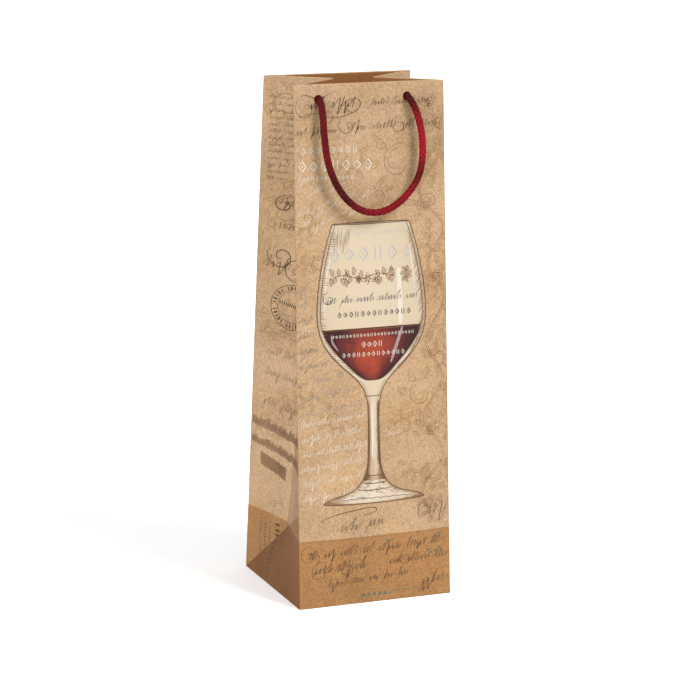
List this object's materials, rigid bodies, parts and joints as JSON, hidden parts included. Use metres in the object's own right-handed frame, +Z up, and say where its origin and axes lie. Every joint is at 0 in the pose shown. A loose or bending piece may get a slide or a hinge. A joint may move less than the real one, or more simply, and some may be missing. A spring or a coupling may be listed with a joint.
{
  "type": "bottle gift bag",
  "caption": "Tall kraft paper gift bag for one bottle, gussets folded in at the mouth, printed glass motif, two braided cord handles.",
  "frame": {"origin": "middle of the base, on the surface that the bag stands on", "axes": "+Z up towards the mouth, -Y out of the front panel, +X to the right as seen from the front"},
  "size_m": [0.11, 0.105, 0.3491],
  "materials": {
    "printed_kraft": "matt kraft paper with printed artwork",
    "kraft_inside": "plain brown kraft paper",
    "grey_card": "uncoated card",
    "braided_cord": "satin braided cord"
  },
  "bodies": {
    "bag": {"back_bottom_flap": "printed_kraft", "back_hem": "kraft_inside", "back_left_knot": "braided_cord", "back_panel": "printed_kraft", "back_right_knot": "braided_cord", "back_stiffener": "grey_card", "front_bottom_flap": "printed_kraft", "front_hem": "kraft_inside", "front_left_knot": "braided_cord", "front_panel": "printed_kraft", "front_right_knot": "braided_cord", "front_stiffener": "grey_card", "left_bottom_flap": "printed_kraft", "left_gusset_back_half": "printed_kraft", "left_gusset_back_hem": "kraft_inside", "left_gusset_foot": "printed_kraft", "left_gusset_front_half": "printed_kraft", "left_gusset_front_hem": "kraft_inside", "right_bottom_flap": "printed_kraft", "right_gusset_back_half": "printed_kraft", "right_gusset_back_hem": "kraft_inside", "right_gusset_foot": "printed_kraft", "right_gusset_front_half": "printed_kraft", "right_gusset_front_hem": "kraft_inside", "seam_flap": "kraft_inside"},
    "front_loop": {"front_handle": "braided_cord"},
    "back_loop": {"back_handle": "braided_cord"},
    "loose_board": {"base_board": "grey_card"}
  },
  "joints": [
    {"name": "front_handle_swing", "type": "hinge", "parent": "bag", "child": "front_loop", "pos_m": [0, -0.0312, 0.3394], "axis": [-1, 0, 0], "range_deg": [0, 160]},
    {"name": "back_handle_swing", "type": "hinge", "parent": "bag", "child": "back_loop", "pos_m": [0, 0.0312, 0.3394], "axis": [1, 0, 0], "range_deg": [0, 160]},
    {"name": "base_board_lift", "type": "slide", "parent": "bag", "child": "loose_board", "axis": [0, 0, 1], "range_m": [0, 0.006]}
  ]
}
